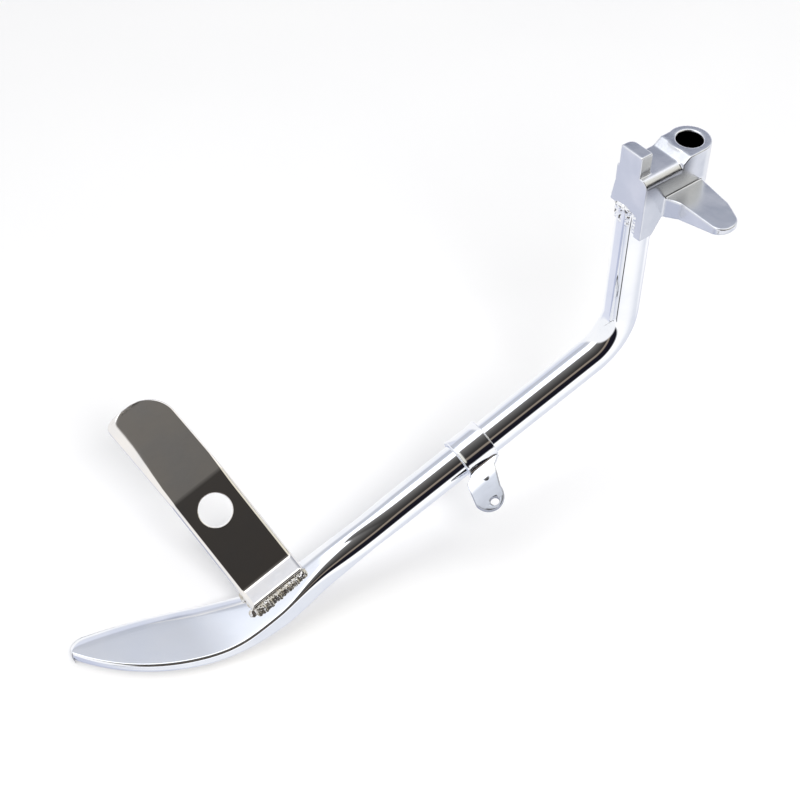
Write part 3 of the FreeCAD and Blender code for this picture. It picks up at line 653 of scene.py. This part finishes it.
def weld_piece(name, skin, node, material):
    piece = piece_from(name, skin, node, material)
    soften(piece, WELD_VOXEL, WELD_SMOOTHING)
    for vert in piece.data.vertices:
        vert.co += vert.normal * (RIPPLE_LIFT * noise.noise(vert.co * RIPPLE_SCALE))


weld_wire, weld_at, weld_surface, weld_chrome = chrome(
    "weld_chrome", ((0.58, 0.54, 0.46), (0.86, 0.86, 0.87)), (0.34, 0.10), bump=0.15, bump_scale=900,
    haze_scale=420)
weld_y = weld_wire.node("ShaderNodeSeparateXYZ", sockets={0: weld_at}, out="Y")
weld_spots = weld_wire.node("ShaderNodeTexNoise", sockets={"Vector": weld_at, "Scale": 520.0, "Detail": 2.0})
bright_weld = weld_spots.step(0.36, 0.44).blend((0.10, 0.09, 0.08, 1), (0.90, 0.91, 0.93, 1))
by_head = weld_y.step(-0.12, -0.10)
weld_surface["Base Color"] = by_head.blend(weld_surface["Base Color"], bright_weld)
finish_material(weld_wire, weld_surface)
COLLAR_START = math.radians(190)
COLLAR_END = math.radians(322)
COLLAR_DROPS = 9
COLLAR_DROP = (0.0021, 0.0021, 0.0019)
COLLAR_SINK = 0.0009
DRIP_SINK = 0.0007
DRIP_START = 0.002
DRIP_END = 0.0075
DRIP_RADIUS = 0.0014
DRIP_PITCH = 0.0018
GROOVE_RADIUS = 0.0019
GROOVE_PITCH = 0.0016
bar_axis = Vector((bend.x, bend.y, 0))
collar_skin = bmesh.new()
collar_level = bar_top - 0.0003


def on_collar(side, sink, drop=0.0):
    """A point on the bar beside the collar, sunk into it, at a drop below the collar's level."""
    return bar_axis + side * (BAR_RADIUS - sink) + Vector((0, 0, collar_level - drop))


for drop in range(COLLAR_DROPS + 1):
    turned = mix(COLLAR_START, COLLAR_END, drop / COLLAR_DROPS)
    side = Vector((math.cos(turned), math.sin(turned), 0))
    lump(collar_skin, on_collar(side, COLLAR_SINK), COLLAR_DROP)
    if drop % 2:
        run_bead(collar_skin, on_collar(side, DRIP_SINK, DRIP_START), on_collar(side, COLLAR_SINK, DRIP_END),
                 DRIP_RADIUS, DRIP_PITCH)
groove = Vector((math.cos(COLLAR_END), math.sin(COLLAR_END), 0)) * BAR_RADIUS + bar_axis
column_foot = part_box("pivot_head")[0].z
run_bead(collar_skin, groove + Vector((0, 0, collar_level)), groove + Vector((0, 0, column_foot + 0.001)),
         GROOVE_RADIUS, GROOVE_PITCH)
weld_piece("collar_bead", collar_skin, "collar_weld", weld_chrome)


# Foot lever: 28.6 x 4.8 mm flat steel strip, cut to a rounded end, drilled, and folded twice. The rider
# kicks it forward to swing the stand down. Polishing has rolled its cut edges over, most at the far tip.
LEVER_WIDTH = 0.0286
LEVER_THICKNESS = 0.0048
LEVER_STATION = 0.1826
LEVER_FOLD_SIDE = 0.0102
LEVER_PITCH = math.radians(20.5)
LEVER_YAW = math.radians(0.2)
LEVER_SEAT = 0.0006
LEVER_FLANGE = 0.0114
LEVER_RISER = 0.0500
LEVER_RISE = math.radians(40)
LEVER_PAD = 0.0472
LEVER_PAD_RISE = math.radians(25)
LEVER_PAD_DRIFT = math.tan(math.radians(2.0))
LEVER_BEND = 0.0030
LEVER_TIP_ROUND = 0.014
LEVER_TIP_CORNER = 0.004
LEVER_END_ROUND = 0.0016
NEAR_ROUND = 0.0021
FAR_ROUND = 0.0024
FAR_DROP = 0.0023
UNDER_ROUNDS = [(0.0020, 0.0018), (0.0016, 0.0018)]
PAD_NEAR_ROUND = 0.0009
PAD_NEAR_START = -0.006
PAD_NEAR_END = 0.010
PAD_FAR_ROUND = 0.0075
PAD_FAR_DROP = 0.0033
PAD_FAR_END = LEVER_PAD * 0.9
LEAST_ROUND = 0.0003
TOE_CHAMFER = 0.0005
HOLE_RADIUS = 0.0075
HOLE_UP = 0.0376
HOLE_RIM = 0.0005

lever_level, lever_slope = foot_centre(LEVER_STATION)
lever_lift = foot_height(LEVER_STATION) / 2 / math.cos(lever_slope) - LEVER_SEAT
lever_place = (leg_place @ Matrix.Translation((LEVER_STATION, -LEVER_FOLD_SIDE, lever_level + lever_lift))
               @ Matrix.Rotation(math.pi / 2, 4, "Z") @ Matrix.Rotation(LEVER_PITCH, 4, "X")
               @ Matrix.Rotation(LEVER_YAW, 4, "Z"))


ARC_STEPS = 10
RUN_STEPS = 6


def strip_path(corners, radius):
    """Points and headings along straight runs joined by arcs, in the XZ plane."""
    path = []
    start = corners[0]
    for before, corner, after in zip(corners, corners[1:], corners[2:]):
        into = (corner - before).normalized()
        out = (after - corner).normalized()
        turn = into.angle(out)
        back = radius * math.tan(turn / 2)
        arc_start = corner - into * back
        path += [(start.lerp(arc_start, step / RUN_STEPS), into) for step in range(RUN_STEPS)]
        bulge = (out - into).normalized()
        centre = corner + bulge * (radius / math.cos(turn / 2))
        spoke = arc_start - centre
        axis = into.cross(out)
        for step in range(ARC_STEPS + 1):
            rotate = Matrix.Rotation(turn * step / ARC_STEPS, 3, axis)
            path.append((centre + rotate @ spoke, rotate @ into))
        start = corner + out * back
    out = (corners[-1] - corners[-2]).normalized()
    path += [(start.lerp(corners[-1], step / RUN_STEPS), out) for step in range(1, RUN_STEPS + 1)]
    return path


half_thick = LEVER_THICKNESS / 2
riser_way = Vector((-math.cos(LEVER_RISE), 0, math.sin(LEVER_RISE)))
pad_way = Vector((-math.cos(LEVER_PAD_RISE), 0, math.sin(LEVER_PAD_RISE)))
pad_skin = Vector((math.sin(LEVER_PAD_RISE), 0, math.cos(LEVER_PAD_RISE)))
fold_lean = (LEVER_RISE + LEVER_PAD_RISE) / 2
fold_skin = Vector((math.sin(fold_lean), 0, math.cos(fold_lean)))
upper_fold = riser_way * LEVER_RISER + fold_skin * (half_thick / math.cos((LEVER_RISE - LEVER_PAD_RISE) / 2))
lever_end = riser_way * LEVER_RISER + pad_way * LEVER_PAD + pad_skin * half_thick
lever_line = strip_path([
    Vector((LEVER_FLANGE, 0, half_thick)),
    Vector((half_thick * math.tan(LEVER_RISE / 2), 0, half_thick)),
    upper_fold,
    lever_end,
], LEVER_BEND + half_thick)
lever_line = [(point, way) for point, way in lever_line if (lever_end - point).dot(pad_way) > LEVER_TIP_ROUND]
TIP_STEPS = 20
for step in range(TIP_STEPS):
    to_tip = LEVER_TIP_ROUND * (1 - math.sin(math.pi / 2 * step / TIP_STEPS))
    lever_line.append((lever_end - pad_way * to_tip, pad_way))


def lever_ring(point, way, shrink=0.0):
    """Cross-section of the strip at a point of its middle line."""
    to_end = (lever_end - point).dot(pad_way)
    onto_pad = (point - upper_fold).dot(pad_way)
    drift = -LEVER_PAD_DRIFT * max(0.0, onto_pad)
    near = LEVER_WIDTH / 2 + drift - shrink
    far = -LEVER_WIDTH / 2 + drift + shrink
    for radius, is_near in ((LEVER_TIP_ROUND, True), (LEVER_TIP_CORNER, False)):
        into = max(0.0, radius - to_end)
        cut_back = radius - math.sqrt(max(0.0, radius ** 2 - into ** 2))
        if is_near:
            near -= cut_back
        else:
            far += cut_back
    normal = way.cross(Vector((0, 1, 0)))
    if normal.z < 0:
        normal = -normal
    height = LEVER_THICKNESS - 2 * shrink
    near_round = mix(NEAR_ROUND, PAD_NEAR_ROUND, ease(onto_pad, PAD_NEAR_START, PAD_NEAR_END))
    rolled = ease(onto_pad, 0, PAD_FAR_END)
    far_drop = mix(FAR_DROP, PAD_FAR_DROP, rolled)
    far_under = (UNDER_ROUNDS[0][0], min(UNDER_ROUNDS[0][1], height - far_drop))
    far_round = mix(FAR_ROUND, PAD_FAR_ROUND, rolled)
    edges = [(near_round, near_round), (far_round, far_drop), far_under, UNDER_ROUNDS[1]]
    rounds = [(max(wide - shrink, LEAST_ROUND), max(high - shrink, LEAST_ROUND)) for wide, high in edges]
    across = rounded(near, far, height, rounds)
    return [lever_place @ (point + Vector((0, offset.y, 0)) + normal * offset.z) for offset in across]


END_STEPS = 6
toe, toe_way = lever_line[0]
lever_rings = [lever_ring(toe, toe_way, TOE_CHAMFER), lever_ring(toe + toe_way * TOE_CHAMFER, toe_way)]
lever_rings += [lever_ring(point, way) for point, way in lever_line[1:]]
for step in range(END_STEPS + 1):
    turned = math.pi / 2 * step / END_STEPS
    back = lever_end - pad_way * (LEVER_END_ROUND * (1 - math.sin(turned)))
    lever_rings.append(lever_ring(back, pad_way, LEVER_END_ROUND * (1 - math.cos(turned))))

lever_wire, _, lever_surface, lever_chrome = chrome(
    "lever_chrome", ((0.86, 0.83, 0.79), (0.80, 0.79, 0.78)), (0.05, 0.10), bump=0.03, bump_scale=120)
finish_material(lever_wire, lever_surface)
lever = piece_from("lever", loft(lever_rings), "foot_lever", lever_chrome)
hole_place = lever_place @ Matrix.Translation(riser_way * HOLE_UP) @ Matrix.Rotation(LEVER_RISE, 4, "Y")
RIM_STEPS = 8
HOLE_SEGMENTS = 96
drill_skin = bmesh.new()
drill_reach = HOLE_RADIUS + HOLE_RIM * 3
rim = [(1 - math.sin(math.pi / 2 * step / RIM_STEPS), 1 - math.cos(math.pi / 2 * step / RIM_STEPS))
       for step in range(RIM_STEPS + 1)]
profile = [Vector((drill_reach, 0, LEVER_THICKNESS + HOLE_RIM))]
profile += [Vector((HOLE_RADIUS + HOLE_RIM * out, 0, LEVER_THICKNESS - HOLE_RIM * down)) for out, down in rim]
profile += [Vector((HOLE_RADIUS + HOLE_RIM * out, 0, HOLE_RIM * above)) for above, out in rim]
profile.append(Vector((drill_reach, 0, -HOLE_RIM)))
profile_verts = [drill_skin.verts.new(point) for point in profile]
profile_edges = [drill_skin.edges.new(pair) for pair in zip(profile_verts, profile_verts[1:])]
bmesh.ops.spin(drill_skin, geom=profile_verts + profile_edges, cent=(0, 0, 0), axis=(0, 0, 1),
               steps=HOLE_SEGMENTS, angle=2 * math.pi, use_merge=True, use_duplicate=False)
rims = [edge for edge in drill_skin.edges if len(edge.link_faces) == 1]
bmesh.ops.holes_fill(drill_skin, edges=rims, sides=0)
bmesh.ops.recalc_face_normals(drill_skin, faces=drill_skin.faces)
bmesh.ops.transform(drill_skin, matrix=hole_place, verts=drill_skin.verts)


def drill(piece, skin):
    """Takes the skin's solid out of the piece."""
    cutter = bpy.data.objects.new("cutter", bpy.data.meshes.new("cutter"))
    skin.to_mesh(cutter.data)
    skin.free()
    bpy.context.scene.collection.objects.link(cutter)
    bore = piece.modifiers.new("bore", "BOOLEAN")
    bore.operation = "DIFFERENCE"
    bore.solver = "EXACT"
    bore.object = cutter
    settle(piece)
    bpy.data.objects.remove(cutter)


drill(lever, drill_skin)
even_shading(lever)


# Toe weld: one rippled bead where the lever's flange ends on the forged bar, with a drip at each end.
# It was plated as welded, so it is dull, and brown in its ripples.
TOE_RADIUS = 0.0027
TOE_PITCH = 0.0017
toe_skin = bmesh.new()
half_lever = LEVER_WIDTH / 2


def on_lever(x, y, z):
    return lever_place @ Vector((x, y, z))


run_bead(toe_skin, on_lever(LEVER_FLANGE, half_lever - 0.0022, 0.0008),
         on_lever(LEVER_FLANGE + 0.0002, -half_lever + 0.0016, 0.0008), TOE_RADIUS, TOE_PITCH)
lump(toe_skin, on_lever(LEVER_FLANGE - 0.0002, half_lever - 0.0012, 0.0020), (0.0020, 0.0017, 0.0017))
lump(toe_skin, on_lever(LEVER_FLANGE - 0.0012, 0.0030, 0.0022), (0.0020, 0.0028, 0.0018))
lump(toe_skin, on_lever(LEVER_FLANGE - 0.0005, -half_lever - 0.0004, 0.0010), (0.0016, 0.0022, 0.0022))
weld_piece("toe_bead", toe_skin, "toe_weld", weld_chrome)


# Heel weld: metal filled into the wedge between the lever's lower fold and the bar, on the far side, with
# a lump of it squeezed out past the strip's edge.
HEEL_RADIUS = 0.0020
HEEL_PITCH = 0.0017
heel_skin = bmesh.new()
run_bead(heel_skin, on_lever(0.0004, half_lever - 0.0022, -0.0004),
         on_lever(0.0004, -half_lever + 0.0016, -0.0004), HEEL_RADIUS, HEEL_PITCH)
lump(heel_skin, on_lever(0.0010, -half_lever + 0.0004, 0.0010), (0.0024, 0.0016, 0.0026))
lump(heel_skin, on_lever(0.0062, -half_lever + 0.0006, 0.0002), (0.0026, 0.0014, 0.0020))
weld_piece("heel_bead", heel_skin, "heel_weld", weld_chrome)


# Spring band: 16 x 1.6 mm strap closed round the bar, its ends pressed together as an ear that the return
# spring hooks into. Its sheared edges stand slightly proud. Plated with the leg.
BAND_STATION = 0.0855
BAND_HALF = 0.008
BAND_THICKNESS = 0.0016
BAND_DROOP = math.radians(15)
EAR_SLIT = 0.0002
EAR_NECK = 0.0030
EAR_NECK_LOW = 0.0036
EAR_NECK_HIGH = 0.0124
EAR_LENGTH = 0.0124
EAR_LEAN = 0.0080
EAR_ROUND = 0.0071
EAR_THROAT = 0.0006
BAND_EDGE = 0.0007
BAND_FLARE = 0.0006
FLARE_START = BAND_HALF - 0.0014
FLARE_END = BAND_HALF - 0.0003
SPRING_HOLE_RADIUS = 0.0021
SPRING_HOLE_REACH = 0.0039
SPRING_HOLE_SIDE = 0.0006
# Painted shade on the ear: its colour, and where it fades in along the ear
EAR_PAINTED_SHADE = (0.44, 0.46, 0.51, 1)
EAR_SHADE_START = 0.0055
EAR_SHADE_END = 0.0085
ring_radius = BAR_RADIUS + BAND_THICKNESS
ear_end = ring_radius + EAR_LENGTH
down_bar = Vector((math.cos(BAR_SLOPE), 0, -math.sin(BAR_SLOPE)))
band_place = (leg_place @ Matrix.Translation(down_bar * BAND_STATION)
              @ Matrix.Rotation(math.pi / 2 + BAR_SLOPE, 4, "Y")
              @ Matrix.Rotation(math.pi / 2 - BAND_DROOP, 4, "Z"))


def band_reach(out):
    """Lower and upper edge of the strap, along the bar, at a distance out from the bar's axis."""
    if out <= ring_radius:
        return -BAND_HALF, BAND_HALF
    neck = ring_radius + EAR_NECK
    if out <= neck:
        share = ease(out, ring_radius, neck)
        return mix(-BAND_HALF, -EAR_NECK_LOW, share), mix(BAND_HALF, EAR_NECK_HIGH, share)
    if out <= ear_end:
        share = (out - neck) / (ear_end - neck)
        return (mix(-EAR_NECK_LOW, EAR_LEAN - EAR_ROUND, share),
                mix(EAR_NECK_HIGH, EAR_LEAN + EAR_ROUND, share))
    half = math.sqrt(max(EAR_ROUND ** 2 - (out - ear_end) ** 2, 1e-9))
    return EAR_LEAN - half, EAR_LEAN + half


def band_ring(point, normal, on_ring):
    """Cross-section of the strap at a point of its middle line."""
    low, high = band_reach(math.hypot(point.x, point.y))
    edge = min(BAND_EDGE, (high - low) / 2.1)
    section = []
    for offset in rounded(high, low, BAND_THICKNESS, [(edge, BAND_EDGE)] * 4):
        flare = ease(abs(offset.y), FLARE_START, FLARE_END) * BAND_FLARE if on_ring else 0.0
        section.append(band_place @ (point + Vector((0, 0, offset.y)) + normal * (offset.z + flare)))
    return section


plate_y = (EAR_SLIT + BAND_THICKNESS) / 2
loop_radius = BAR_RADIUS + BAND_THICKNESS / 2
throat_y = plate_y + EAR_THROAT
throat_x = math.sqrt((loop_radius + EAR_THROAT) ** 2 - throat_y ** 2)
throat_turn = math.acos(throat_y / (loop_radius + EAR_THROAT))
EAR_TIP_STEPS = 24
PLATE_STEPS = 9
THROAT_STEPS = 8
TIP_GAP = 0.00005
plate_normal = Vector((0, 1, 0))
plate_line = []
for step in range(EAR_TIP_STEPS + 1):
    reach = ear_end + EAR_ROUND * math.cos(math.pi / 2 * step / EAR_TIP_STEPS) - TIP_GAP
    plate_line.append((Vector((reach, plate_y, 0)), plate_normal, False))
for step in range(1, PLATE_STEPS):
    plate_line.append((Vector((mix(ear_end, throat_x, step / PLATE_STEPS), plate_y, 0)), plate_normal, False))
for step in range(THROAT_STEPS + 1):
    turned = throat_turn * step / THROAT_STEPS
    normal = Vector((math.sin(turned), math.cos(turned), 0))
    plate_line.append((Vector((throat_x, throat_y, 0)) - normal * EAR_THROAT, normal, False))
loop_start = math.atan2(throat_y, throat_x)
LOOP_STEPS = 72
loop_line = []
for step in range(1, LOOP_STEPS):
    turned = mix(loop_start, 2 * math.pi - loop_start, step / LOOP_STEPS)
    normal = Vector((math.cos(turned), math.sin(turned), 0))
    loop_line.append((normal * loop_radius, normal, True))
back_line = [(Vector((point.x, -point.y, 0)), Vector((normal.x, -normal.y, 0)), False)
             for point, normal, _ in reversed(plate_line)]
band_wire, band_at, band_surface, band_chrome = chrome(
    "band_chrome", ((0.88, 0.89, 0.92), (0.82, 0.84, 0.88)), (0.04, 0.09), bump=0.01, bump_scale=150)
# Painted shade: the ear's plates are darkened, which dims the bright cloth they reflect; the metal is the
# same plate as the rest of the band
band_x = band_wire.node("ShaderNodeSeparateXYZ", sockets={0: band_at}, out="X")
painted_ear_shade = band_x.step(EAR_SHADE_START, EAR_SHADE_END)
band_surface["Base Color"] = painted_ear_shade.blend(band_surface["Base Color"], EAR_PAINTED_SHADE)
finish_material(band_wire, band_surface)
band_skin = loft([band_ring(*station) for station in plate_line + loop_line + back_line])
band = piece_from("band", band_skin, "spring_band", band_chrome)
drill_skin = bmesh.new()
SPRING_HOLE_SEGMENTS = 48
hook_centre = Vector((ear_end + SPRING_HOLE_REACH, 0, EAR_LEAN - SPRING_HOLE_SIDE))
through_ear = Matrix.Rotation(math.pi / 2, 4, "X")
bmesh.ops.create_cone(drill_skin, cap_ends=True, segments=SPRING_HOLE_SEGMENTS, radius1=SPRING_HOLE_RADIUS,
                      radius2=SPRING_HOLE_RADIUS, depth=BAND_THICKNESS * 4,
                      matrix=band_place @ Matrix.Translation(hook_centre) @ through_ear)
drill(band, drill_skin)
even_shading(band)


# Band rivet: soft steel, set through both plates of the ear beside the bar, its heads hammered low.
RIVET_REACH = 0.0053
RIVET_SIDE = 0.0036
RIVET_RADIUS = 0.0012
RIVET_HEAD_RADIUS = 0.0016
RIVET_HEAD = 0.00022
DOME_STEPS = 6
RIVET_SEGMENTS = 32
rivet_skin = bmesh.new()
stack = BAND_THICKNESS + EAR_SLIT / 2
dome = [Vector((0, 0, stack + RIVET_HEAD))]
for step in range(1, DOME_STEPS + 1):
    turned = math.pi / 2 * step / DOME_STEPS
    dome.append(Vector((RIVET_HEAD_RADIUS * math.sin(turned), 0, stack + RIVET_HEAD * math.cos(turned))))
dome.append(Vector((RIVET_RADIUS, 0, stack)))
dome += [Vector((point.x, 0, -point.z)) for point in reversed(dome)]
dome_verts = [rivet_skin.verts.new(point) for point in dome]
dome_edges = [rivet_skin.edges.new(pair) for pair in zip(dome_verts, dome_verts[1:])]
bmesh.ops.spin(rivet_skin, geom=dome_verts + dome_edges, cent=(0, 0, 0), axis=(0, 0, 1),
               steps=RIVET_SEGMENTS, angle=2 * math.pi, use_merge=True, use_duplicate=False)
bmesh.ops.remove_doubles(rivet_skin, verts=rivet_skin.verts, dist=MERGE)
bmesh.ops.recalc_face_normals(rivet_skin, faces=rivet_skin.faces)
rivet_centre = Vector((ring_radius + RIVET_REACH, 0, RIVET_SIDE))
bmesh.ops.transform(rivet_skin, verts=rivet_skin.verts,
                    matrix=band_place @ Matrix.Translation(rivet_centre) @ through_ear)
piece_from("rivet", rivet_skin, "band_rivet", band_chrome)
